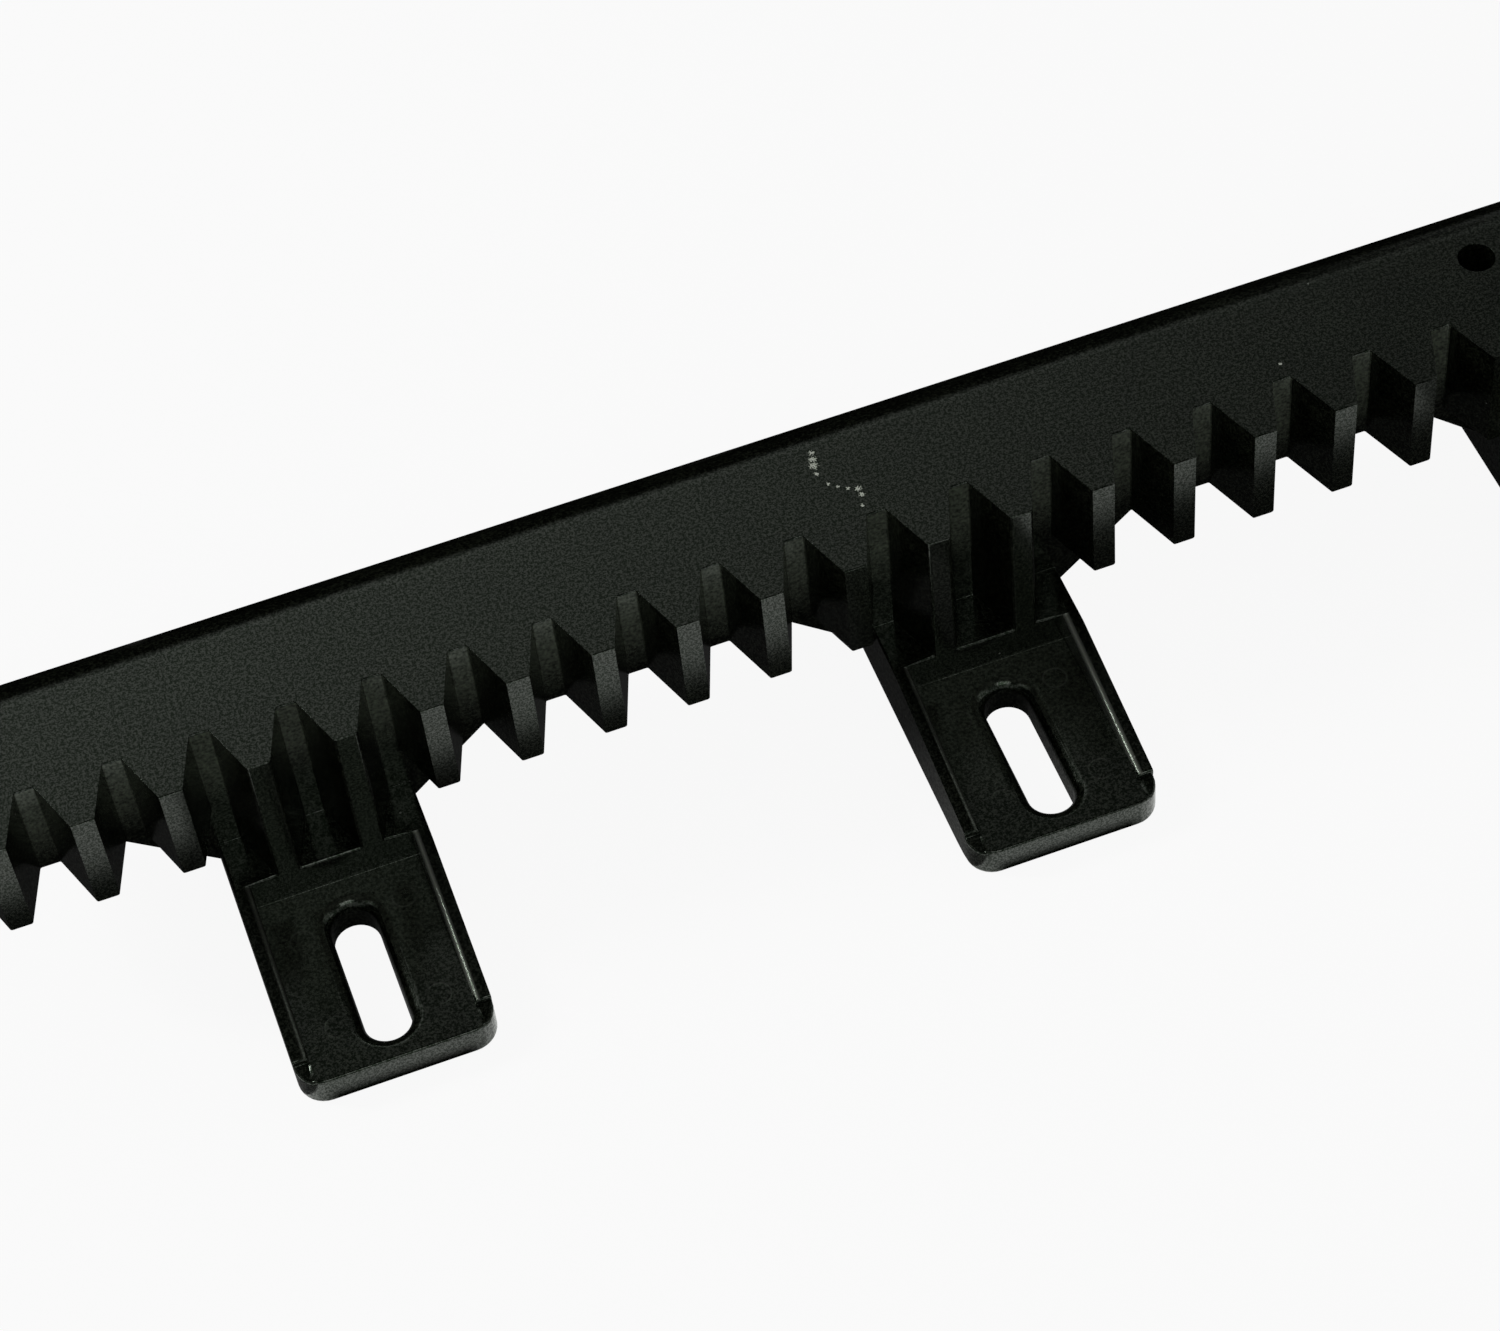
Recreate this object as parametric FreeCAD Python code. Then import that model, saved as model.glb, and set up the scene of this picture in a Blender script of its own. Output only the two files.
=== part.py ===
# Toothed rack for a sliding gate, moulded in one piece, lying on its back.
# +X runs along the rack, the teeth point towards -Y and +Z points up, out of the front face.
# The origin lies on the back plane of the lugs, at the middle of the length and on the pitch line.
import FreeCAD, Part
import math
import os

V = FreeCAD.Vector

# Driving dimensions, in millimetres and degrees.
MODULE = 4.0
PRESSURE_ANGLE = 20.0
ROOT_CLEARANCE = 0.65
TOOTH_COUNT = 40
TEETH_PER_LUG = 8

BAR_HEIGHT = 32.7           # from the tooth tips to the plain long edge
BAR_DEPTH = 18.2            # from the front face to the back of the bar
PLAIN_EDGE_RADIUS = 9.0     # front edge of the plain long side
BACK_EDGE_RADIUS = 0.5
TOOTH_EDGE_RADIUS = 0.5     # front edge of the tooth tips

STAND_OFF = 18.8            # from the back of the bar to the back plane of the lugs
FLARE_RUN = 12.6            # how far a pad widens towards the bar, on each side
FLARE_DEPTH = 11.5

LUG_WIDTH = 29.2
LUG_CORNER_RADIUS = 4.0
PLATE_THICKNESS = 5.4
WEB_THICKNESS = 11.2        # web that closes the tooth spaces in front of a lug
RIB_THICKNESS = 2.4
RIB_END_HEIGHT = 1.0        # what is left of a rib above the plate at its far end
RIB_TO_END = 4.0            # bare plate beyond the ribs

SLOT_WIDTH = 6.8
SLOT_START = 4.6            # from the tooth tips to the near end of the slot
SLOT_LENGTH = 23.5
SLOT_TO_END = 3.9           # plate beyond the far end of the slot
SLOT_RIM_RADIUS = 2.0

HOLE_DIAMETER = 5.6
HOLE_DEPTH = 10.0
HOLE_SPACING = 28.6         # between the two blind holes beside the middle of the rack
HOLE_FROM_TIPS = 19.0

# Sizes that follow from them.
pitch = math.pi * MODULE
length = TOOTH_COUNT * pitch
slope = math.tan(math.radians(PRESSURE_ANGLE))
addendum = MODULE
dedendum = MODULE + ROOT_CLEARANCE
tip_half = pitch / 4 - addendum * slope
root_half = pitch / 4 + dedendum * slope

y_tip = -addendum
y_root = dedendum
y_plain = y_tip + BAR_HEIGHT
y_slot_near = y_tip - SLOT_START
y_slot_far = y_slot_near - SLOT_LENGTH
y_end = y_slot_far - SLOT_TO_END
y_rib_end = y_end + RIB_TO_END
z_back = STAND_OFF
z_front = STAND_OFF + BAR_DEPTH
lug_half = LUG_WIDTH / 2

tooth_xs = [(i - (TOOTH_COUNT - 1) / 2) * pitch for i in range(TOOTH_COUNT)]
lug_count = max(1, TOOTH_COUNT // TEETH_PER_LUG)
lug_xs = [(i - (lug_count - 1) / 2) * TEETH_PER_LUG * pitch for i in range(lug_count)]


def prism(points, direction):
    """Closed outline, pushed along a direction into a solid."""
    return Part.Face(Part.makePolygon(points + points[:1])).extrude(direction)


def box(x0, x1, y0, y1, z0, z1):
    """Block between two opposite corners."""
    return Part.makeBox(x1 - x0, y1 - y0, z1 - z0, V(x0, y0, z0))


def rounded_outline(corners):
    """Closed wire through corners, given as (point, radius), with an arc at each radius above zero."""
    starts, ends, arcs = [], [], []
    count = len(corners)
    for i, (point, radius) in enumerate(corners):
        before = (corners[i - 1][0] - point).normalize()
        after = (corners[(i + 1) % count][0] - point).normalize()
        half_turn = before.getAngle(after) / 2
        back = radius / math.tan(half_turn)
        starts.append(point + before * back)
        ends.append(point + after * back)
        inward = (before + after).normalize()
        middle = point + inward * (radius / math.sin(half_turn) - radius)
        arcs.append(Part.Arc(starts[i], middle, ends[i]).toShape() if radius > 0 else None)
    edges = []
    for i in range(count):
        if arcs[i]:
            edges.append(arcs[i])
        edges.append(Part.LineSegment(ends[i], starts[(i + 1) % count]).toShape())
    return Part.Wire(edges)


def tooth_outline(x, z):
    """The four corners of one tooth, from its left root to its right root."""
    corners = [(-root_half, y_root), (-tip_half, y_tip), (tip_half, y_tip), (root_half, y_root)]
    return [V(x + dx, y, z) for dx, y in corners]


def make_bar():
    """Toothed bar: the tooth outline pushed through the depth, kept inside a section with rounded edges."""
    outline = [
        V(length / 2, y_plain, z_back),
        V(-length / 2, y_plain, z_back),
        V(-length / 2, y_root, z_back),
    ]
    for x in tooth_xs:
        outline += tooth_outline(x, z_back)
    outline.append(V(length / 2, y_root, z_back))
    toothed = prism(outline, V(0, 0, BAR_DEPTH))
    section = rounded_outline([
        (V(-length / 2, y_tip, z_back), BACK_EDGE_RADIUS),
        (V(-length / 2, y_tip, z_front), TOOTH_EDGE_RADIUS),
        (V(-length / 2, y_plain, z_front), PLAIN_EDGE_RADIUS),
        (V(-length / 2, y_plain, z_back), BACK_EDGE_RADIUS),
    ])
    return toothed.common(Part.Face(section).extrude(V(length, 0, 0)))


def make_pad(x):
    """Block behind the bar that carries a lug, with sides that flare out to the bar."""
    z_flare = z_back - FLARE_DEPTH
    wide = lug_half + FLARE_RUN
    z_inside = z_back + BAR_DEPTH / 2
    half = [(lug_half, 0), (lug_half, z_flare), (wide, z_back), (wide, z_inside)]
    outline = [V(x + dx, y_root, z) for dx, z in half] + [V(x - dx, y_root, z) for dx, z in reversed(half)]
    return prism(outline, V(0, y_plain - BACK_EDGE_RADIUS - y_root, 0))


def make_web(x):
    """Web between the teeth above a lug, and the teeth that run on down to it."""
    solids = [box(x - lug_half, x + lug_half, y_tip, y_root, 0, WEB_THICKNESS)]
    for tooth_x in tooth_xs:
        if abs(tooth_x - x) + tip_half <= lug_half:
            solids.append(prism(tooth_outline(tooth_x, 0), V(0, 0, z_back + BAR_DEPTH / 2)))
    return solids


def make_plate(x):
    """Slotted plate with two round outer corners and a soft rim round the front of its slot."""
    outline = rounded_outline([
        (V(x - lug_half, y_root, 0), 0),
        (V(x - lug_half, y_end, 0), LUG_CORNER_RADIUS),
        (V(x + lug_half, y_end, 0), LUG_CORNER_RADIUS),
        (V(x + lug_half, y_root, 0), 0),
    ])
    plate = Part.Face(outline).extrude(V(0, 0, PLATE_THICKNESS))
    r = SLOT_WIDTH / 2
    left, right = x - r, x + r
    slot = Part.Wire([
        Part.Arc(V(right, y_slot_near - r, 0), V(x, y_slot_near, 0), V(left, y_slot_near - r, 0)).toShape(),
        Part.LineSegment(V(left, y_slot_near - r, 0), V(left, y_slot_far + r, 0)).toShape(),
        Part.Arc(V(left, y_slot_far + r, 0), V(x, y_slot_far, 0), V(right, y_slot_far + r, 0)).toShape(),
        Part.LineSegment(V(right, y_slot_far + r, 0), V(right, y_slot_near - r, 0)).toShape(),
    ])
    plate = plate.cut(Part.Face(slot).extrude(V(0, 0, PLATE_THICKNESS)))
    front = max(plate.Faces, key=lambda face: face.CenterOfMass.z)
    rim = min(front.Wires, key=lambda wire: wire.Length)
    return plate.makeFillet(SLOT_RIM_RADIUS, rim.Edges)


def make_ribs(x):
    """Two tapered ribs along the sides of a lug, from the web down to its plate."""
    ribs = []
    for x0 in (x - lug_half, x + lug_half - RIB_THICKNESS):
        side = [
            V(x0, y_root, 0),
            V(x0, y_root, WEB_THICKNESS),
            V(x0, y_tip, WEB_THICKNESS),
            V(x0, y_rib_end, PLATE_THICKNESS + RIB_END_HEIGHT),
            V(x0, y_rib_end, 0),
        ]
        ribs.append(prism(side, V(RIB_THICKNESS, 0, 0)))
    return ribs


def make_holes():
    """Two blind holes in the front face, one each side of the middle of the rack."""
    y = y_tip + HOLE_FROM_TIPS
    return [
        Part.makeCylinder(HOLE_DIAMETER / 2, HOLE_DEPTH, V(side * HOLE_SPACING / 2, y, z_front - HOLE_DEPTH))
        for side in (-1, 1)
    ]


def make_rack():
    """The whole rack as one solid."""
    parts = []
    for x in lug_xs:
        parts += [make_pad(x), make_plate(x)] + make_web(x) + make_ribs(x)
    rack = make_bar().multiFuse(parts).cut(Part.makeCompound(make_holes()))
    return rack.removeSplitter().Solids[0]


os.makedirs("parts", exist_ok=True)
rack = make_rack()
rack.exportStep("parts/gear_rack.step")
size = rack.BoundBox
print("gear_rack", len(rack.Solids), "solid,", round(rack.Volume / 1000, 1), "cm3")
print("length, height, depth:", round(size.XLength, 2), round(size.YLength, 2), round(size.ZLength, 2))
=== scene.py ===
# %% [markdown]
# # A toothed rack for a sliding gate
# The rack is one long moulding of black nylon: a straight bar with forty teeth along one side, and five
# slotted lugs that bolt it to a gate. It lies on its back, so the back planes of the lugs touch the table.
# The frame that is loaded first is the finished solid model. It says how large the rack is and where it lies,
# and this script gives it the edges, the marks and the finish of a real moulding.

# %% Load the frame
from contextlib import contextmanager
import math

import bmesh
import bpy
from mathutils import Euler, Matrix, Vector


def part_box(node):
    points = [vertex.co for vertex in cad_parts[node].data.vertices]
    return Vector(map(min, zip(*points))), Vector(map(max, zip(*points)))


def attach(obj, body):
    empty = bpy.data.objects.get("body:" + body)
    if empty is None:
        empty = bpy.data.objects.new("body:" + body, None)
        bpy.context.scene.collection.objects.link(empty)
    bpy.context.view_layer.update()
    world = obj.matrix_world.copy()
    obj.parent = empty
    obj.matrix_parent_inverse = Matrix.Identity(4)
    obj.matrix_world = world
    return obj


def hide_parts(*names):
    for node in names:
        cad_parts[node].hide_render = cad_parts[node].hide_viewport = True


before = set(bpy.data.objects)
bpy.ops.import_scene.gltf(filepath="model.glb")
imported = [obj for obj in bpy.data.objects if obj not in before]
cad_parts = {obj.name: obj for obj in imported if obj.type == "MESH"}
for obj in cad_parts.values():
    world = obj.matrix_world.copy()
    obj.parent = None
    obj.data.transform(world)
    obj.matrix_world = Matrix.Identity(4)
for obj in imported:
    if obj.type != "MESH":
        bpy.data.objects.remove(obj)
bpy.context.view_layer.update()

MM = 0.001
TINY = 0.001 * MM        # two places that are closer than this are the same


# %% [markdown]
# ## Sizes
# A rack's teeth follow from one number, the module: the pitch is pi times the module, a tooth stands one
# module above the pitch line, and its flanks lean by the pressure angle. Everything else here is a wall, a
# radius or a place that can be measured on the part. The overall reach comes from the frame, so the two can't
# drift apart.

# %% Sizes of the toothed bar
TEETH = 40
TEETH_PER_LUG = 8
PRESSURE_ANGLE = math.radians(20)
ROOT_CLEARANCE = 0.65 * MM

lo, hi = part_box("gear_rack")
pitch = (hi.x - lo.x) / TEETH
module = pitch / math.pi
lean = math.tan(PRESSURE_ANGLE)
tip_y = -module
root_y = module + ROOT_CLEARANCE
plain_y = hi.y
tip_half = pitch / 4 - module * lean
root_half = pitch / 4 + root_y * lean

front_z = hi.z
bar_depth = 18.2 * MM
bar_back_z = front_z - bar_depth
inside_bar_z = bar_back_z + bar_depth / 2
plain_radius = 9.0 * MM
print("module", round(module / MM, 3), "mm, pitch", round(pitch / MM, 3), "mm")

# %% Sizes of a lug
lug_half = 14.6 * MM
lug_corner = 4.0 * MM
end_y = lo.y
plate_z = 5.4 * MM
web_z = 11.2 * MM

rib_width = 2.4 * MM
rib_end_y = end_y + 4.0 * MM
rib_end_z = plate_z + 1.0 * MM
rib_slant_run = 0.8 * MM
rib_slant_drop = 0.53 * MM
CORNER_WALL_ANGLE = 40   # degrees, the low wall that is left in a corner of the plate beyond a rib

slot_half = 3.4 * MM
slot_near_y = tip_y - 4.6 * MM
slot_far_y = end_y + 3.9 * MM
slot_rim = 2.0 * MM

flare_run = 12.6 * MM
flare_depth = 11.5 * MM
pad_plain_y = plain_y - 0.5 * MM

lugs = TEETH // TEETH_PER_LUG
lug_pitch = TEETH_PER_LUG * pitch
print(lugs, "lugs,", round(lug_pitch / MM, 2), "mm apart")

# %% [markdown]
# ## A bench for node trees
# Geometry trees and materials both come down to nodes and links, and a formula of ten Math nodes is hard to
# read as nodes. So a small class wraps a socket and lets it stand in a Python sum. Every other node comes
# from one method, which takes the type, the settings and the inputs.

# %% Sockets that can be added and multiplied
class Wire:
    """A socket that can stand in a Python sum. Each sum adds one Math node to its tree."""

    def __init__(self, bench, socket):
        self.bench = bench
        self.socket = socket

    def other(self, name):
        """Another output of the same node."""
        return Wire(self.bench, self.socket.node.outputs[name])

    def __add__(self, value):
        return self.bench.math("ADD", self, value)

    def __radd__(self, value):
        return self.bench.math("ADD", value, self)

    def __sub__(self, value):
        return self.bench.math("SUBTRACT", self, value)

    def __rsub__(self, value):
        return self.bench.math("SUBTRACT", value, self)

    def __mul__(self, value):
        return self.bench.math("MULTIPLY", self, value)

    def __rmul__(self, value):
        return self.bench.math("MULTIPLY", value, self)

    def __truediv__(self, value):
        return self.bench.math("DIVIDE", self, value)

    def __mod__(self, value):
        return self.bench.math("MODULO", self, value)

    def __lt__(self, value):
        return self.bench.math("LESS_THAN", self, value)

    def __gt__(self, value):
        return self.bench.math("GREATER_THAN", self, value)


# %% One method for every node
class Bench:
    """Adds nodes to one tree."""

    def __init__(self, tree):
        self.tree = tree

    def node(self, kind, settings=None, inputs=None, output=0):
        """A node of that kind. The settings go in first, then each input's value, link or list of links."""
        node = self.tree.nodes.new(kind)
        for name, value in (settings or {}).items():
            if name == "stops":
                self.set_stops(node.color_ramp, value)
            else:
                setattr(node, name, value)
        for key, value in (inputs or {}).items():
            for one in value if isinstance(value, list) else [value]:
                if isinstance(one, Wire):
                    self.tree.links.new(one.socket, node.inputs[key])
                else:
                    node.inputs[key].default_value = one
        return Wire(self, node.outputs[output]) if node.outputs else None

    def set_stops(self, ramp, stops):
        """Gives a colour ramp its stops, as (place, colour)."""
        while len(ramp.elements) < len(stops):
            ramp.elements.new(1.0)
        for element, (place, colour) in zip(ramp.elements, stops):
            element.position = place
            element.color = colour

    def math(self, operation, *values):
        return self.node("ShaderNodeMath", {"operation": operation}, dict(enumerate(values)))

    def pick(self, test, yes, no):
        """One of two numbers, by a test that is 1 or 0."""
        return self.node("ShaderNodeMix", {"data_type": "FLOAT"}, {0: test, 2: no, 3: yes})

    def point(self, x, y, z):
        return self.node("ShaderNodeCombineXYZ", None, {0: x, 1: y, 2: z})

    def count(self, label):
        """Prints how many nodes the tree has so far."""
        print(label + ":", len(self.tree.nodes), "nodes")


# %% [markdown]
# ## The toothed bar
# On the real rack the teeth are moulded in one go with the bar. The whole outline follows one rule, so
# Geometry Nodes can draw it: a chain of points, four for each tooth and four for the bar behind them, each
# put in its place by its number. The outline is then filled and pushed through the bar's depth. Two teeth run
# on down to each lug, and the same rule places those, so the long and the short teeth lie exactly in line.

# %% The rule for one corner of a tooth
def tooth_corner(bench, size, tooth, corner):
    """Where one of a tooth's four corners lies along and across the rack, from its left root to its right."""
    at_tip = bench.math("ABSOLUTE", corner - 1.5) < 1
    half = bench.pick(at_tip, size["Tip half"], size["Root half"])
    side = bench.pick(corner < 1.5, -1.0, 1.0)
    middle = (tooth - (size["Teeth"] - 1) / 2) * size["Pitch"]
    return middle + side * half, bench.pick(at_tip, size["Tip line"], size["Root line"])


# %% Helpers that turn numbered points into a solid
def numbered_points(bench, count):
    """A chain of points that have no place yet, and each point's number."""
    chain = bench.node("GeometryNodeMeshLine", None, {"Count": count})
    return chain, bench.node("GeometryNodeInputIndex") + 0


def placed(bench, points, x, y, z):
    return bench.node("GeometryNodeSetPosition", None, {"Geometry": points, "Position": bench.point(x, y, z)})


def solid_from(bench, outlines, low, high):
    """Closes chains of points into outlines, fills them and pushes the faces up from one level to another."""
    curve = bench.node("GeometryNodeMeshToCurve", None, {"Mesh": outlines})
    curve = bench.node("GeometryNodeSetSplineCyclic", None, {"Geometry": curve, "Cyclic": True})
    face = bench.node("GeometryNodeFillCurve", {"mode": "NGONS"}, {"Curve": curve})
    face = bench.node("GeometryNodeSetPosition", None, {"Geometry": face, "Offset": bench.point(0, 0, low)})
    pushed = bench.node("GeometryNodeExtrudeMesh", {"mode": "FACES"}, {
        "Mesh": face, "Offset": bench.point(0, 0, high - low), "Offset Scale": 1.0, "Individual": False,
    })
    back = bench.node("GeometryNodeFlipFaces", None, {"Mesh": face})
    both = bench.node("GeometryNodeJoinGeometry", None, {"Geometry": [pushed, back]})
    return bench.node("GeometryNodeMergeByDistance", None, {"Geometry": both, "Distance": TINY})


# %% A tree with named inputs
TOOTH_SIZES = {
    "Teeth": TEETH, "Pitch": pitch, "Tip half": tip_half, "Root half": root_half, "Tip line": tip_y,
    "Root line": root_y,
}
SOCKET_KINDS = {
    int: "NodeSocketInt", float: "NodeSocketFloat", bpy.types.Object: "NodeSocketObject",
    bpy.types.Material: "NodeSocketMaterial",
}


def new_tree(name, sizes):
    """An empty geometry tree whose named inputs have the kinds of the given sizes."""
    tree = bpy.data.node_groups.new(name, "GeometryNodeTree")
    tree.interface.new_socket("Geometry", in_out="OUTPUT", socket_type="NodeSocketGeometry")
    for label, value in sizes.items():
        tree.interface.new_socket(label, in_out="INPUT", socket_type=SOCKET_KINDS[type(value)])
    bench = Bench(tree)
    group_input = bench.node("NodeGroupInput")
    return bench, {label: group_input.other(label) for label in sizes}


def finish_tree(bench, geometry, nylon):
    """Ends a tree: its instances become real faces, and they take the rack's material."""
    real = bench.node("GeometryNodeRealizeInstances", None, {"Geometry": geometry})
    dressed = bench.node("GeometryNodeSetMaterial", None, {"Geometry": real, "Material": nylon})
    bench.node("NodeGroupOutput", None, {0: dressed})
    bench.count(bench.tree.name)


# %% Its result as a plain mesh
def new_piece(name):
    piece = bpy.data.objects.new(name, bpy.data.meshes.new(name))
    bpy.context.collection.objects.link(piece)
    return piece


def settle(piece):
    """The piece's modifiers become its plain mesh."""
    evaluated = piece.evaluated_get(bpy.context.evaluated_depsgraph_get())
    piece.data = bpy.data.meshes.new_from_object(evaluated)
    piece.modifiers.clear()


def grow(name, bench, sizes):
    """A piece made by a geometry tree, with the sizes set on the modifier's inputs before it is evaluated."""
    piece = new_piece(name)
    modifier = piece.modifiers.new(name, "NODES")
    modifier.node_group = bench.tree
    for item in bench.tree.interface.items_tree:
        if item.in_out == "INPUT":
            modifier[item.identifier] = sizes[item.name]
    settle(piece)
    return piece


# %% Two helpers for meshes
@contextmanager
def shaping(piece):
    """Opens a piece's mesh to be changed, and writes it back at the end of the block."""
    mesh = bmesh.new()
    mesh.from_mesh(piece.data)
    yield mesh
    mesh.to_mesh(piece.data)
    mesh.free()


def report(piece):
    """Prints a piece's faces and volume, and how many of its edges aren't shared by two faces."""
    mesh = bmesh.new()
    mesh.from_mesh(piece.data)
    open_edges = sum(len(edge.link_faces) != 2 for edge in mesh.edges)
    volume = mesh.calc_volume(signed=True) * 1e6
    print(piece.name, len(mesh.faces), "faces,", round(volume, 2), "cm3,", open_edges, "open edges")
    mesh.free()


# %% Grow the bar
nylon = bpy.data.materials.new("black_nylon")


def bar_tree(sizes):
    bench, size = new_tree("toothed_bar", sizes)
    chain, number = numbered_points(bench, size["Teeth"] * 4 + 4)
    tooth = bench.math("FLOOR", number / 4)
    corner = number % 4
    tooth_x, tooth_y = tooth_corner(bench, size, tooth, corner)
    behind = tooth > size["Teeth"] - 0.5
    bar_x = bench.pick(corner < 1.5, 0.5, -0.5) * size["Teeth"] * size["Pitch"]
    bar_y = bench.pick(bench.math("ABSOLUTE", corner - 1.5) < 1, size["Plain edge"], size["Root line"])
    chain = placed(bench, chain, bench.pick(behind, bar_x, tooth_x), bench.pick(behind, bar_y, tooth_y), 0.0)
    finish_tree(bench, solid_from(bench, chain, size["Back"], size["Front"]), size["Material"])
    return bench


bar_sizes = TOOTH_SIZES | {"Plain edge": plain_y, "Back": bar_back_z, "Front": front_z, "Material": nylon}
rack = grow("rack", bar_tree(bar_sizes), bar_sizes)
report(rack)

# %% [markdown]
# The long edge opposite the teeth has a round of 9 mm, far larger than any other edge, so it gets a bevel of
# its own. It is cut now, while the bar is a plain prism and that edge is still one straight line.

# %% Round the plain long edge
PLAIN_EDGE_STEPS = 16


def near(a, b):
    return abs(a - b) < TINY


def on_plain_edge(point):
    return near(point.y, plain_y) and near(point.z, front_z)


with shaping(rack) as mesh:
    edges = [edge for edge in mesh.edges if all(on_plain_edge(vert.co) for vert in edge.verts)]
    bmesh.ops.bevel(mesh, geom=edges, offset=plain_radius, segments=PLAIN_EDGE_STEPS, profile=0.5,
                    affect="EDGES")
    print("rounded", len(edges), "long edge")
report(rack)

# %% [markdown]
# ## A lug
# Each lug is a slotted plate between two ribs. Beside the plate a web closes the tooth spaces, and a solid
# pad behind the web widens towards the bar. The mould gives all of them flat walls, so they are prisms that
# overlap, and one exact Boolean makes them a single skin later. A rib is a loft instead, because it falls
# towards the plate and has a slanted inner edge. So is the slot, which widens at the front in a soft rim.

# %% Prisms and lofts
def add_loft(mesh, rings):
    """Adds a solid through rings of points, all with the same count, closed by a face at each end."""
    rows = [[mesh.verts.new(point) for point in ring] for ring in rings]
    faces = [mesh.faces.new(rows[0]), mesh.faces.new(rows[-1])]
    count = len(rows[0])
    for low, high in zip(rows, rows[1:]):
        for i in range(count):
            faces.append(mesh.faces.new((low[i], low[(i + 1) % count], high[(i + 1) % count], high[i])))
    bmesh.ops.recalc_face_normals(mesh, faces=faces)


def add_prism(mesh, outline, push):
    """Adds a closed outline, pushed along a direction into a solid."""
    push = Vector(push)
    add_loft(mesh, [[Vector(point) for point in outline], [Vector(point) + push for point in outline]])


def arc(centre, radius, start, stop, steps):
    """Points on an arc in the plane of the plate, with the angles in degrees."""
    turns = [math.radians(start + (stop - start) * i / steps) for i in range(steps + 1)]
    return [(centre[0] + radius * math.cos(t), centre[1] + radius * math.sin(t)) for t in turns]


# %% The walls of a lug
LUG_CORNER_STEPS = 8


def add_walls(mesh):
    """Plate, web and pad of a lug at the origin, as overlapping solids."""
    inner_y = end_y + lug_corner
    inner_x = lug_half - lug_corner
    outline = [(lug_half, root_y), (-lug_half, root_y)]
    outline += arc((-inner_x, inner_y), lug_corner, 180, 270, LUG_CORNER_STEPS)
    outline += arc((inner_x, inner_y), lug_corner, 270, 360, LUG_CORNER_STEPS)
    add_prism(mesh, [(x, y, 0) for x, y in outline], (0, 0, plate_z))
    web = [(-lug_half, tip_y), (lug_half, tip_y), (lug_half, root_y), (-lug_half, root_y)]
    add_prism(mesh, [(x, y, 0) for x, y in web], (0, 0, web_z))
    wide = lug_half + flare_run
    half = [(lug_half, 0), (lug_half, bar_back_z - flare_depth), (wide, bar_back_z), (wide, inside_bar_z)]
    pad = half + [(-x, z) for x, z in reversed(half)]
    add_prism(mesh, [(x, root_y, z) for x, z in pad], (0, pad_plain_y - root_y, 0))


def add_rib(mesh, side):
    """A rib that falls from the web towards the plate, with a slanted edge on its inner side."""
    outer = side * lug_half
    inner = side * (lug_half - rib_width)
    crest = inner + side * rib_slant_run
    add_loft(mesh, [
        [Vector(point) for point in (
            (outer, y, 0), (outer, y, top), (crest, y, top), (inner, y, top - rib_slant_drop), (inner, y, 0),
        )]
        for y, top in ((root_y, web_z), (tip_y, web_z), (rib_end_y, rib_end_z))
    ])


# %% The slot and the low corners
SLOT_END_STEPS = 24
SLOT_RIM_STEPS = 12
BEYOND = 1 * MM          # how far what is cut away reaches past the lug


def stadium(half_width, z):
    """A ring with two straight sides and two half circles, centred on the slot."""
    near_y = slot_near_y - slot_half
    far_y = slot_far_y + slot_half
    ring = arc((0, near_y), half_width, 0, 180, SLOT_END_STEPS)
    ring += arc((0, far_y), half_width, 180, 360, SLOT_END_STEPS)
    return [Vector((x, y, z)) for x, y in ring]


def add_slot(mesh):
    """The slot with its soft rim, as a solid to be cut away."""
    rings = [stadium(slot_half, -plate_z)]
    for i in range(SLOT_RIM_STEPS + 1):
        turn = math.radians(90 * i / SLOT_RIM_STEPS)
        half_width = slot_half + slot_rim * (1 - math.cos(turn))
        rings.append(stadium(half_width, plate_z - slot_rim * (1 - math.sin(turn))))
    rings.append(stadium(slot_half + slot_rim, 2 * plate_z))
    add_loft(mesh, rings)


def add_corner_fall(mesh, side):
    """Beyond a rib its slope carries on down to the end of the plate. This is what it takes away there."""
    slope = (web_z - rib_end_z) / (tip_y - rib_end_y)
    beyond_y = end_y - BEYOND
    drop = slope * (rib_end_y - beyond_y)
    inner = side * (lug_half - rib_width)
    outer = side * (lug_half + BEYOND)
    foot = inner + side * drop / math.tan(math.radians(CORNER_WALL_ANGLE))
    above = plate_z + BEYOND
    corners = [(x, y, z) for x in (inner, outer) for y in (rib_end_y, beyond_y) for z in (plate_z, above)]
    corners.remove((outer, beyond_y, plate_z))
    corners += [(x, beyond_y, plate_z - drop) for x in (foot, outer)]
    bmesh.ops.convex_hull(mesh, input=[mesh.verts.new(corner) for corner in corners])


# %% Build one lug
def combine(piece, operation, other):
    """Joins or cuts a piece with another by an exact Boolean, and takes the other one away."""
    modifier = piece.modifiers.new(operation, "BOOLEAN")
    modifier.operation = operation
    modifier.solver = "EXACT"
    modifier.use_self = True
    modifier.object = other
    settle(piece)
    bpy.data.objects.remove(other)


lug = new_piece("lug")
with shaping(lug) as mesh:
    add_walls(mesh)
    for side in (-1, 1):
        add_rib(mesh, side)

cuts = new_piece("lug_cuts")
with shaping(cuts) as mesh:
    add_slot(mesh)
    for side in (-1, 1):
        add_corner_fall(mesh, side)

combine(lug, "DIFFERENCE", cuts)
report(lug)

# %% [markdown]
# ## Lugs along the bar
# There is a lug for every eight teeth, so a second tree sets instances of the lug on a chain of points, and
# adds the two teeth that run down to each of them. It ends in real faces, which the Boolean needs.

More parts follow.
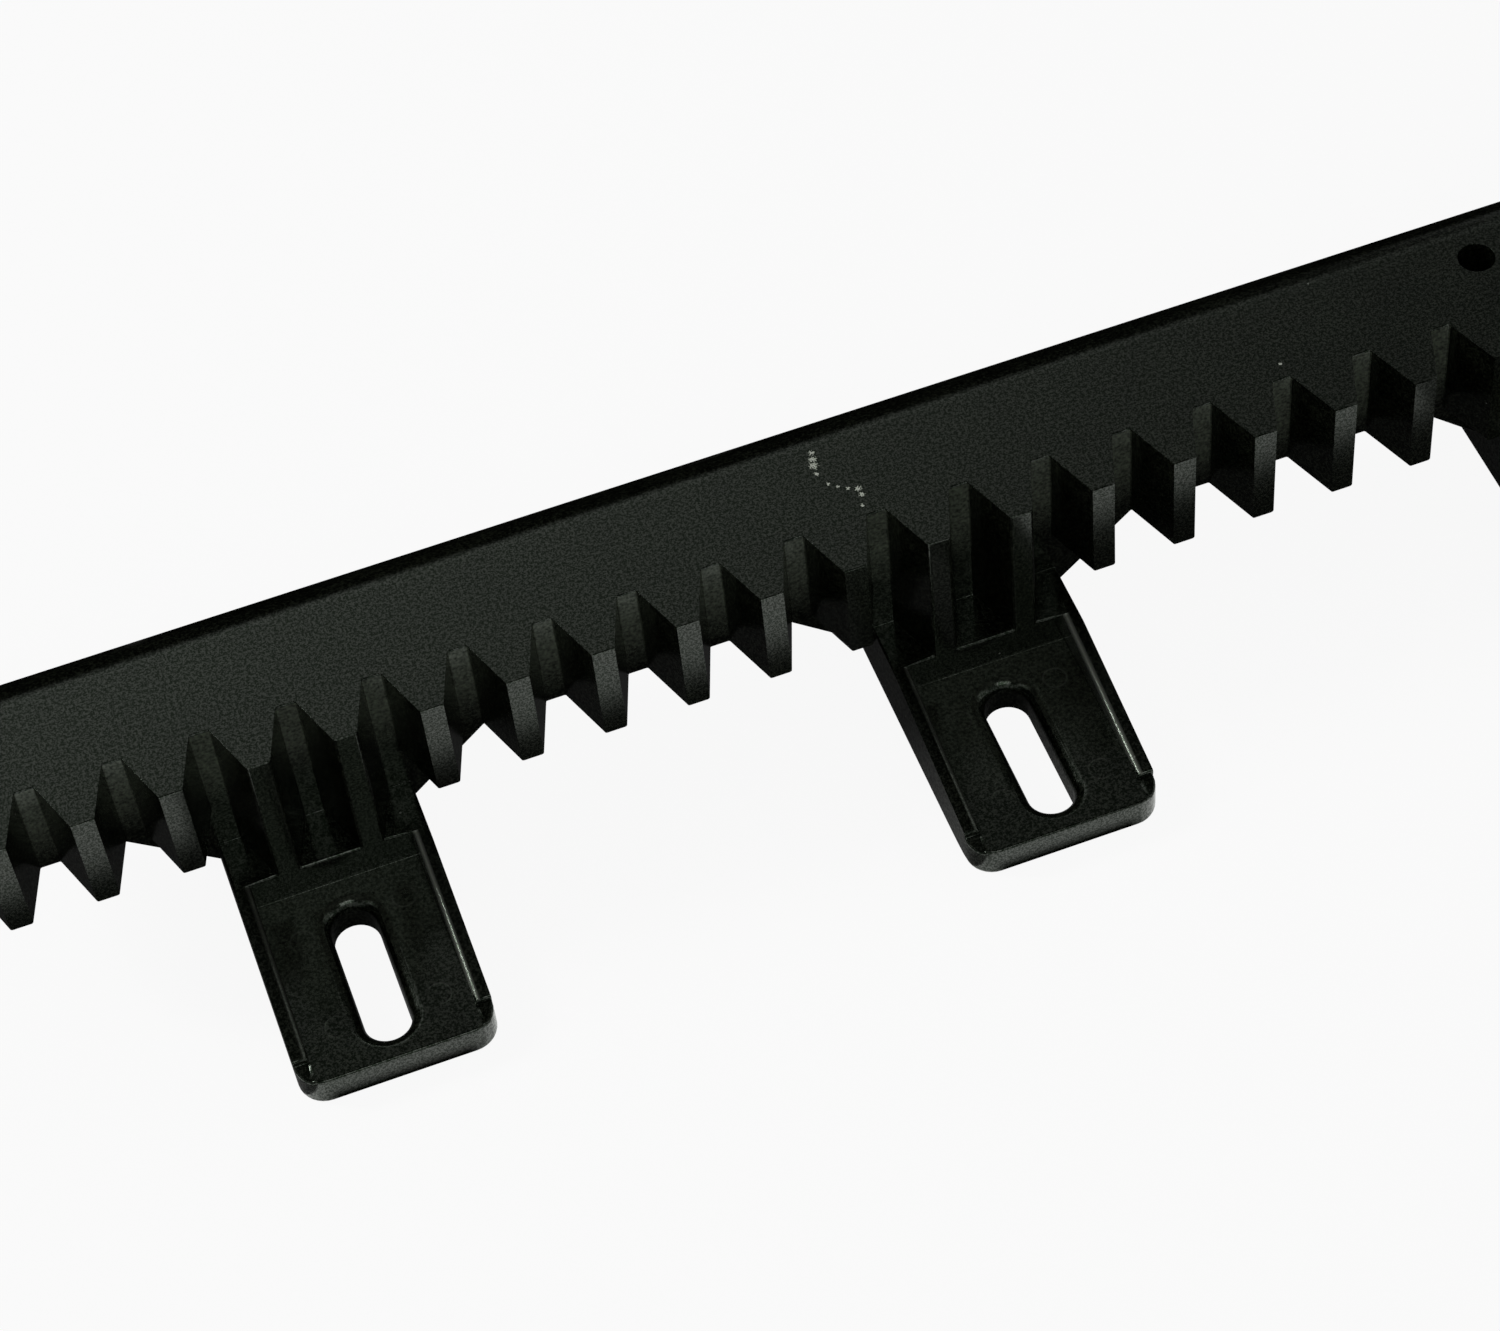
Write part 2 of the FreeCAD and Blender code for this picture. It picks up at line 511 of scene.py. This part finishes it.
# %% Set the lugs and their long teeth
def lug_tree(sizes):
    bench, size = new_tree("lugs_on_bar", sizes)
    lug_chain, lug_number = numbered_points(bench, size["Lugs"])
    lug_x = (lug_number - (size["Lugs"] - 1) / 2) * size["Teeth per lug"] * size["Pitch"]
    lug_chain = placed(bench, lug_chain, lug_x, 0.0, 0.0)
    shape = bench.node("GeometryNodeObjectInfo", None, {"Object": size["Lug"]}, "Geometry")
    set_lugs = bench.node("GeometryNodeInstanceOnPoints", None, {"Points": lug_chain, "Instance": shape})

    chain, number = numbered_points(bench, size["Lugs"] * 8)
    quad = bench.math("FLOOR", number / 4)
    first = size["Teeth per lug"] / 2 - 1
    tooth = bench.math("FLOOR", quad / 2) * size["Teeth per lug"] + quad % 2 + first
    chain = placed(bench, chain, *tooth_corner(bench, size, tooth, number % 4), 0.0)
    link = bench.node("GeometryNodeInputIndex") % 4
    teeth = bench.node("GeometryNodeDeleteGeometry", {"domain": "EDGE", "mode": "EDGE_FACE"}, {
        "Geometry": chain, "Selection": link > 2.5,
    })
    long_teeth = solid_from(bench, teeth, 0.0, size["Top"])
    both = bench.node("GeometryNodeJoinGeometry", None, {"Geometry": [set_lugs, long_teeth]})
    finish_tree(bench, both, size["Material"])
    return bench


lug_sizes = TOOTH_SIZES | {
    "Lugs": lugs, "Teeth per lug": TEETH_PER_LUG, "Lug": lug, "Top": inside_bar_z, "Material": nylon,
}
lug_row = grow("lug_row", lug_tree(lug_sizes), lug_sizes)
report(lug_row)
bpy.data.objects.remove(lug)

# %% [markdown]
# ## One moulding
# Now the bar and the lugs become a single closed skin, and two blind holes are cut in the front face beside
# the middle. The exact solver leaves a few extra corners on flat walls, which a limited dissolve removes.

# %% Join and drill
hole_radius = 2.8 * MM
hole_depth = 10 * MM
hole_half_spacing = 14.3 * MM
hole_y = tip_y + 19 * MM
HOLE_SIDES = 32

holes = new_piece("holes")
with shaping(holes) as mesh:
    for side in (-1, 1):
        ring = arc((side * hole_half_spacing, hole_y), hole_radius, 0, 360, HOLE_SIDES)[:-1]
        add_prism(mesh, [(x, y, front_z - hole_depth) for x, y in ring], (0, 0, 2 * hole_depth))

combine(rack, "UNION", lug_row)
combine(rack, "DIFFERENCE", holes)
report(rack)

# %% Clean
FLAT_WITHIN = math.radians(0.2)

with shaping(rack) as mesh:
    bmesh.ops.remove_doubles(mesh, verts=mesh.verts, dist=2 * TINY)
    bmesh.ops.dissolve_limit(mesh, angle_limit=FLAT_WITHIN, verts=mesh.verts, edges=mesh.edges)
report(rack)

# %% [markdown]
# ## Small radii
# Nothing that comes out of a mould has a knife edge, but not every edge is as soft as the next. The foot of
# the plate has the largest radius and the edge of the web a little less. The edges of the front face, where
# the mould opens, are crisp, and inner corners have a small fillet. The outer edges of the ribs catch no
# light on the real part, so they get no radius. Each edge gets a weight between 0 and 1 by where it lies, and
# the Bevel modifier turns the weights into radii. Arcs that are there already stay as they are.

# %% How soft each edge is
foot_radius = 0.7 * MM
step_share = 0.7
usual_share = 0.5
crisp_share = 0.3
inner_share = 0.2
sharp_share = 0.05
bevelled_from = math.radians(CORNER_WALL_ANGLE + 1)
slack = 0.01 * MM


def beside_lug(x):
    """How far a place lies to the right of the middle line of its lug. A place can be a number or a wire.
    The ten whole pitches keep it above zero, because below that a Math node's modulo turns negative."""
    return (x + 10.5 * lug_pitch) % lug_pitch - lug_pitch / 2


def softness(edge):
    """The share of the foot's radius that an edge gets. On the back plane only the foot itself has one."""
    start, end = (vert.co for vert in edge.verts)
    if len(edge.link_faces) != 2 or edge.calc_face_angle() < bevelled_from:
        return 0.0
    outward = min(abs(beside_lug(start.x)), abs(beside_lug(end.x))) + slack
    front_most = max(start.y, end.y) - slack
    if max(start.z, end.z) < slack:
        in_corner = outward > lug_half - lug_corner and front_most < end_y + lug_corner
        return 1.0 if front_most < end_y or in_corner else 0.0
    if not edge.is_convex:
        return inner_share
    if near(start.z, front_z) and near(end.z, front_z):
        return crisp_share if near(start.y, end.y) else sharp_share
    if near(start.z, web_z) and near(end.z, web_z) and near(start.y, tip_y) and near(end.y, tip_y):
        return step_share
    if outward > lug_half and front_most < tip_y:
        return 0.0
    return usual_share


# %% Round every edge a little
BEVEL_STEPS = 3

with shaping(rack) as mesh:
    weight = mesh.edges.layers.float.new("bevel_weight_edge")
    for edge in mesh.edges:
        edge[weight] = softness(edge)

bevel = rack.modifiers.new("small_radii", "BEVEL")
bevel.width = foot_radius
bevel.segments = BEVEL_STEPS
bevel.limit_method = "WEIGHT"
bevel.use_clamp_overlap = False
bevel.miter_outer = "MITER_ARC"
settle(rack)
report(rack)

# %% [markdown]
# After that the edges where walls meet are marked sharp, and the normals are weighted by area, so that flat
# faces reflect as flat ones and only the radii are shaded as round.

# %% Even the flat faces
SHARP_FROM = math.radians(CORNER_WALL_ANGLE - 4)

rack.data.shade_smooth()
rack.data.set_sharp_from_angle(angle=SHARP_FROM)
even = rack.modifiers.new("even_flats", "WEIGHTED_NORMAL")
even.weight = 100
even.keep_sharp = True
settle(rack)
rack.data.materials.clear()
rack.data.materials.append(nylon)
rack.name = "gear_rack_moulding"
print(rack.name, "has", len(rack.data.materials), "material")

# %% [markdown]
# ## Black nylon
# Moulded nylon is never one flat black. The skin is mottled where the melt froze at different speeds, and it
# has a fine grain. All of it comes from noise on the object's own coordinates, so it stays with the part from
# any side.

# %% Noise, fades and tints
nylon.use_nodes = True
nylon.node_tree.nodes.clear()
bench = Bench(nylon.node_tree)
place = bench.node("ShaderNodeTexCoord", None, None, "Object")
place_x = bench.node("ShaderNodeSeparateXYZ", None, {0: place})
place_y = place_x.other("Y")
place_z = place_x.other("Z")


def noise(size, detail, roughness, offset=(0, 0, 0)):
    """A noise whose features are about as large as the given size, between 0 and 1."""
    moved = bench.node("ShaderNodeVectorMath", {"operation": "ADD"}, {0: place, 1: offset})
    return bench.node("ShaderNodeTexNoise", None, {
        "Vector": moved, "Scale": 1 / size, "Detail": detail, "Roughness": roughness,
    })


def level(bench, value, start, stop, low=0.0, high=1.0, kind="LINEAR"):
    """Goes from one level to another while a value goes from a start to a stop, and stays there."""
    return bench.node("ShaderNodeMapRange", {"interpolation_type": kind}, {
        "Value": value, "From Min": start, "From Max": stop, "To Min": low, "To Max": high,
    })


def tinted(share, under, over):
    """A colour laid over another one, by a share between 0 and 1."""
    return bench.node("ShaderNodeMix", {"data_type": "RGBA"}, {0: share, 6: under, 7: over}, 2)


# %% Mottled skin
DEEP_BLACK = (0.0003, 0.0004, 0.0002, 1)
USUAL_BLACK = (0.0020, 0.0024, 0.0016, 1)
PALE_BLACK = (0.0120, 0.0135, 0.0095, 1)

mottle = noise(9 * MM, 3.0, 0.6)
grain = noise(0.5 * MM, 2.0, 0.6, (0.3, 0.1, 0.2))
speckle = noise(0.25 * MM, 1.0, 0.5, (0.7, 0.4, 0.5))
skin = bench.node("ShaderNodeValToRGB", {
    "stops": [(0.40, DEEP_BLACK), (0.50, USUAL_BLACK), (0.60, PALE_BLACK)],
}, {0: 0.15 * mottle + 0.45 * grain + 0.4 * speckle}, "Color")
bench.count("mottled skin")

# %% [markdown]
# ### Painted light on the plates and in the roots
# The bar shades the flat plates near it, and the roots between the teeth get little light. A paler tone is
# painted there as light, on the plates mostly near the bar and in the roots mostly near the front. It makes
# the black a little greyer there.

# %% Painted light on the plates and in the roots
# A pale tone painted as light: it lifts the plates near the bar, where the bar shades them, and the roots
# near the front.
PAINTED_LIGHT_TONE = (0.100, 0.112, 0.088, 1)
PLATE_LIGHT_FADE = (tip_y - 24 * MM, tip_y - 12 * MM)
ROOT_LIGHT_FADE = (front_z - 17 * MM, front_z - 8 * MM)
plate_reach = 0.4 * MM
root_reach = 0.3 * MM

on_plate = bench.math("ABSOLUTE", place_z - plate_z) < plate_reach
on_root = (bench.math("ABSOLUTE", place_y - root_y) < root_reach) * (place_z < front_z - root_reach)
plate_painted_light = on_plate * level(bench, place_y, *PLATE_LIGHT_FADE)
root_painted_light = on_root * level(bench, place_z, *ROOT_LIGHT_FADE)
painted_light = (0.4 * plate_painted_light + 1.3 * root_painted_light) * (0.4 + 1.2 * (grain - 0.5))
lit_skin = tinted(painted_light, skin, PAINTED_LIGHT_TONE)
bench.count("skin with dust")

# %% [markdown]
# ### Marks and a painted highlight
# Ejector pins push the rack out of its mould, and four of them leave a faint ring on each plate. The inner
# edges of the ribs carry a painted highlight, strongest on the right of a lug, where they face the key light.
# The front face has a track of bright scuffs, which are spots of different sizes with edges broken up by the
# speckle. Single pale specks lie all over.

# %% Pin rings
PIN_RADIUS = 1.75 * MM
PIN_LINE = 0.22 * MM
PIN_PLACES = ((-7.6, -12.2), (8.2, -10.3), (8.0, -28.1), (-7.0, -27.8))


def fades_from(value, edge, width):
    """1 where a value is at an edge, and 0 once it is the width away from it."""
    return bench.math("MAXIMUM", 1 - bench.math("ABSOLUTE", value - edge) / width, 0.0)


def away_from(point, spot):
    return bench.node("ShaderNodeVectorMath", {"operation": "DISTANCE"}, {0: point, 1: spot}, "Value")


beside = beside_lug(place_x)
on_lug = bench.point(beside, place_y, 0.0)
rings = 0.0
for x, y in PIN_PLACES:
    rings = fades_from(away_from(on_lug, (x * MM, y * MM, 0)), PIN_RADIUS, PIN_LINE) + rings
rings = rings * on_plate * level(bench, mottle, 0.40, 0.56)
print(len(PIN_PLACES), "pin rings on each plate")

# %% Painted highlight on the inner edges of the ribs
HIGHLIGHT_LINE = lug_half - rib_width + 0.4 * MM
HIGHLIGHT_WIDTH = 0.5 * MM
HIGHLIGHT_RIGHT = 0.30
HIGHLIGHT_LEFT = 0.06

# Painted highlight: the inner edges of the ribs are made pale, more on the right, where they face the key
# light.
along_rib = (place_y < tip_y) * (place_y > rib_end_y)
on_rib = along_rib * (place_z > plate_z + 0.8 * MM) * (place_z < web_z + 0.2 * MM)
highlighted = fades_from(bench.math("ABSOLUTE", beside), HIGHLIGHT_LINE, HIGHLIGHT_WIDTH) * on_rib
highlighted = highlighted * bench.pick(beside > 0.0, HIGHLIGHT_RIGHT, HIGHLIGHT_LEFT)
bench.count("skin with rings and rubbed ribs")

# %% Scuffs and specks
# This pale colour is for the real scuffs, specks and pin rings, and also for the painted highlight on the
# ribs.
PALE_WEAR_AND_HIGHLIGHT = (0.60, 0.62, 0.56, 1)
SPECK_SPACING = 11 * MM
SCUFFS = (
    (-117.7, 18.6, 0.6), (-118.0, 17.4, 0.8), (-118.3, 16.2, 0.9), (-118.4, 14.6, 0.5),
    (-117.5, 12.2, 0.4), (-116.4, 11.2, 0.35), (-115.2, 10.3, 0.4), (-113.9, 9.7, 0.7),
    (-113.8, 8.5, 0.6), (-114.4, 6.5, 0.4), (-49.2, 7.4, 0.4),
)

scuffs = 0.0
for x, y, size in SCUFFS:
    nearby = fades_from(away_from(place, (x * MM, y * MM, front_z)), 0.0, size * MM)
    scuffs = bench.math("MAXIMUM", nearby, scuffs)
scuffs = (scuffs > 0.0) * (scuffs + 3 * (speckle - 0.5) > 0.45) * (0.3 + scuffs)
speck = bench.node("ShaderNodeTexVoronoi", None, {"Vector": place, "Scale": 1 / SPECK_SPACING}, "Distance")
marks_and_highlight = bench.math("MINIMUM", 0.05 * rings + highlighted + 1.2 * scuffs + 0.25 * (speck < 0.015), 1.0)
worn_and_lit = tinted(marks_and_highlight, lit_skin, PALE_WEAR_AND_HIGHLIGHT)
print(len(SCUFFS), "scuffs")

# %% [markdown]
# ### Gloss
# The plastic itself mirrors little, with a slight green cast. Over it lies a thin film of mould release,
# which is there in fine speckles and mirrors more. It makes bright reflections grainy and leaves the dark
# ones alone. What changes over the skin feeds only its colour, roughness, film and normal.

# %% Film, bump and shader
film = level(bench, 0.5 * grain + 0.5 * speckle, 0.45, 0.56)
bump = bench.node("ShaderNodeBump", None, {
    "Strength": 0.25, "Distance": 0.05 * MM, "Height": 0.6 * grain + 0.4 * speckle - 1.5 * rings,
}, "Normal")
shader = bench.node("ShaderNodeBsdfPrincipled", None, {
    "Base Color": worn_and_lit, "Roughness": 0.12 + 0.10 * grain, "Normal": bump,
    "IOR": 1.34, "Specular Tint": (0.72, 1.0, 0.68, 1),
    "Coat Weight": film, "Coat Roughness": 0.16, "Coat IOR": 1.5, "Coat Tint": (0.95, 1.0, 0.92, 1),
})
bench.node("ShaderNodeOutputMaterial", None, {"Surface": shader})
bench.count("black nylon")

# %% [markdown]
# ### In place of the solid
# The moulding takes the place of the plain solid in the frame, and belongs to the same body.

# %% Take the solid's place
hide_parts("gear_rack")
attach(rack, "root")
print(rack.name, "takes the place of gear_rack")

# %% [markdown]
# ## Floor
# The rack lies on a plain white table. Camera rays see it almost pure white, as the paper of a catalogue,
# with only a little of the shadow left. Reflections see a pale table too where it is open, but near the rack
# they see a shadow that is painted on it. That dark band is what makes the upright walls of the teeth fade to
# black towards the table.

# %% White table
floor_half = 4.0
floor_drop = 0.01 * MM
floor = new_piece("floor")
with shaping(floor) as mesh:
    square = ((-1, -1), (1, -1), (1, 1), (-1, 1))
    mesh.faces.new([mesh.verts.new((x * floor_half, y * floor_half, -floor_drop)) for x, y in square])

white = bpy.data.materials.new("white_table")
white.use_nodes = True
white.node_tree.nodes.clear()
bench = Bench(white.node_tree)
place = bench.node("ShaderNodeTexCoord", None, None, "Object")
along = bench.node("ShaderNodeSeparateXYZ", None, {0: place})
across = along.other("Y")
beside = beside_lug(along)
off_middle = bench.math("ABSOLUTE", beside)
print("table:", 2 * floor_half, "m wide")

# %% [markdown]
# ### The shadow that reflections see
# On the side of the teeth it ends about 27 mm from the pitch line, and further out to the right, where the
# light comes in at a flatter angle. Behind the rack it is darkest. There is also some beside the left wall of
# each lug and before the end of its plate, and a little light comes through the slots.

# %% Brightness of the table in reflections
OPEN_TABLE = 0.85
SHADED = 0.02

longer = level(bench, along, -118 * MM, -72 * MM, 0.0, 4 * MM)
table = level(bench, across + longer, -27.5 * MM, -21.0 * MM, OPEN_TABLE, SHADED, "SMOOTHSTEP")
table = table * level(bench, across, pad_plain_y - 10 * MM, pad_plain_y, 1.0, 0.1)
before_plate = level(bench, off_middle, lug_half - 5 * MM, lug_half - 2 * MM, 1.0, 0.0)
table = table * (1 - before_plate * level(bench, across, end_y - 2.2 * MM, end_y - 0.6 * MM))
left_of_lug = (beside > -lug_half - 3 * MM) * (beside < -lug_half)
table = bench.pick(left_of_lug, level(bench, across, -30 * MM, -6 * MM, 0.10, SHADED), table)
in_slot = (off_middle < slot_half) * (across < slot_near_y) * (across > slot_far_y)
table = bench.pick(in_slot, level(bench, across, slot_far_y, slot_near_y, 0.12, 0.015), table)
bench.count("table with its shadow")

# %% [markdown]
# ### White for the camera
# Half of the table's brightness is its own glow, and the other half is paper that catches the lamps and real
# shadows. For the camera and for reflections nearly all of it is glow. For the camera that glow is white.

# %% Glow and paper
GLOW_SHARE = 0.5
MORE_GLOW = 0.42

ray = bench.node("ShaderNodeLightPath", None, None, "Is Camera Ray")
mirrored = bench.math("MAXIMUM", ray.other("Is Glossy Ray"), ray.other("Is Transmission Ray"))
paper = bench.node("ShaderNodeBsdfDiffuse", None, {"Color": table + ray * (OPEN_TABLE - table)})
glow = bench.node("ShaderNodeEmission", None, {"Color": ray + (1 - ray) * table, "Strength": 1.0})
share = GLOW_SHARE + MORE_GLOW * (ray + mirrored)
both = bench.node("ShaderNodeMixShader", None, {0: share, 1: paper, 2: glow})
bench.node("ShaderNodeOutputMaterial", None, {"Surface": both})
floor.data.materials.append(white)
bench.count("white table")

# %% [markdown]
# ## Light
# A soft box stands to the left of the rack and a little behind it, where the inner edges of the ribs mirror
# it, and a wider one lights everything gently from the front.

# %% Soft boxes
LIT_SPOT = Vector((-0.12, 0, 0))


def toward(azimuth, elevation):
    """A direction, with the azimuth 0 from behind the rack and growing to the right."""
    turn = math.radians(azimuth)
    lift = math.radians(elevation)
    return Vector((math.sin(turn) * math.cos(lift), math.cos(turn) * math.cos(lift), math.sin(lift)))


def soft_box(name, azimuth, elevation, distance, width, height, power):
    """An area light that looks at the rack from a direction."""
    light = bpy.data.lights.new(name, "AREA")
    light.shape = "RECTANGLE"
    light.size = width
    light.size_y = height
    light.energy = power
    away = toward(azimuth, elevation)
    lamp = bpy.data.objects.new(name, light)
    lamp.location = LIT_SPOT + away * distance
    lamp.rotation_euler = away.to_track_quat("Z", "Y").to_euler()
    bpy.context.collection.objects.link(lamp)
    print(name, "soft box:", power, "W from", round(distance, 2), "m")


soft_box("key", azimuth=-63, elevation=36, distance=1.2, width=0.18, height=0.33, power=4)
soft_box("front", azimuth=185, elevation=52, distance=1.5, width=0.8, height=0.6, power=3)

# %% [markdown]
# ### Cards round a dark room
# Black plastic shows what it mirrors, so pale cards stand round a dark room, as in a photo studio. The front
# face mirrors the back card, which fades to the right, and the inner walls of the left ribs mirror the side
# card. A front card and a faint ceiling are there for the other sides. Camera rays see no cards but plain
# white, and so do rays that pass through a piece.

# %% Sky
DARK_ROOM = 0.004

world = bpy.data.worlds.new("studio")
bpy.context.scene.world = world
world.use_nodes = True
world.node_tree.nodes.clear()
bench = Bench(world.node_tree)
ray = bench.node("ShaderNodeLightPath", None, None, "Is Camera Ray")
seen = bench.math("MAXIMUM", ray, ray.other("Is Transmission Ray"))
facing = bench.node("ShaderNodeTexCoord", None, None, "Generated")


def leaning(azimuth, elevation):
    """How far each direction of the sky leans towards one of them."""
    way = toward(azimuth, elevation)
    return bench.node("ShaderNodeVectorMath", {"operation": "DOT_PRODUCT"}, {0: facing, 1: way}, "Value")


height = leaning(0, 90)


def card(middle, spread, lowest, highest):
    """A pale card in a direction, with a soft edge: how far it leans that way, and its heights."""
    side = level(bench, middle, *spread, kind="SMOOTHSTEP")
    foot = level(bench, height, *lowest, kind="SMOOTHSTEP")
    return side * foot * (1 - level(bench, height, *highest, kind="SMOOTHSTEP"))


back_card = card(leaning(-45, 0), (0.02, 0.55), (0.45, 0.72), (0.78, 0.86))
side_card = card(leaning(75, 0), (0.52, 0.66), (0.12, 0.26), (0.85, 0.95))
front_card = card(leaning(180, 0), (0.20, 0.60), (0.05, 0.25), (0.60, 0.75))
ceiling = level(bench, height, 0.85, 0.97, kind="SMOOTHSTEP")
cards = 0.70 * back_card + 0.5 * side_card + 0.35 * front_card + 0.06 * ceiling
sky = bench.node("ShaderNodeBackground", None, {
    "Color": (1, 1, 1, 1), "Strength": DARK_ROOM + (1 - DARK_ROOM) * seen + cards * (1 - seen),
})
bench.node("ShaderNodeOutputWorld", None, {"Surface": sky})
bench.count("sky")

# %% [markdown]
# ## Camera
# The picture was taken from above the tooth side, a little left of the part that it shows, with the camera
# tilted so that the rack climbs to the right.

# %% Camera
camera_at = Vector((-223.75, -348.62, 481.91)) * MM
aim_at = Vector((-138.98, -14.28, 37.0)) * MM
tilt = math.radians(-7.0)
lens = 97.5

camera = bpy.data.objects.new("camera", bpy.data.cameras.new("camera"))
bpy.context.collection.objects.link(camera)
camera.data.sensor_width = 36
camera.data.lens = lens
camera.data.clip_start = 0.01
camera.location = camera_at
look = (aim_at - camera_at).to_track_quat("-Z", "Y").to_matrix().to_4x4()
camera.rotation_euler = (look @ Euler((0, 0, tilt)).to_matrix().to_4x4()).to_euler()
bpy.context.scene.camera = camera
bpy.context.scene.view_settings.view_transform = "Standard"
print("camera:", round((aim_at - camera_at).length / MM), "mm away, lens", lens, "mm")
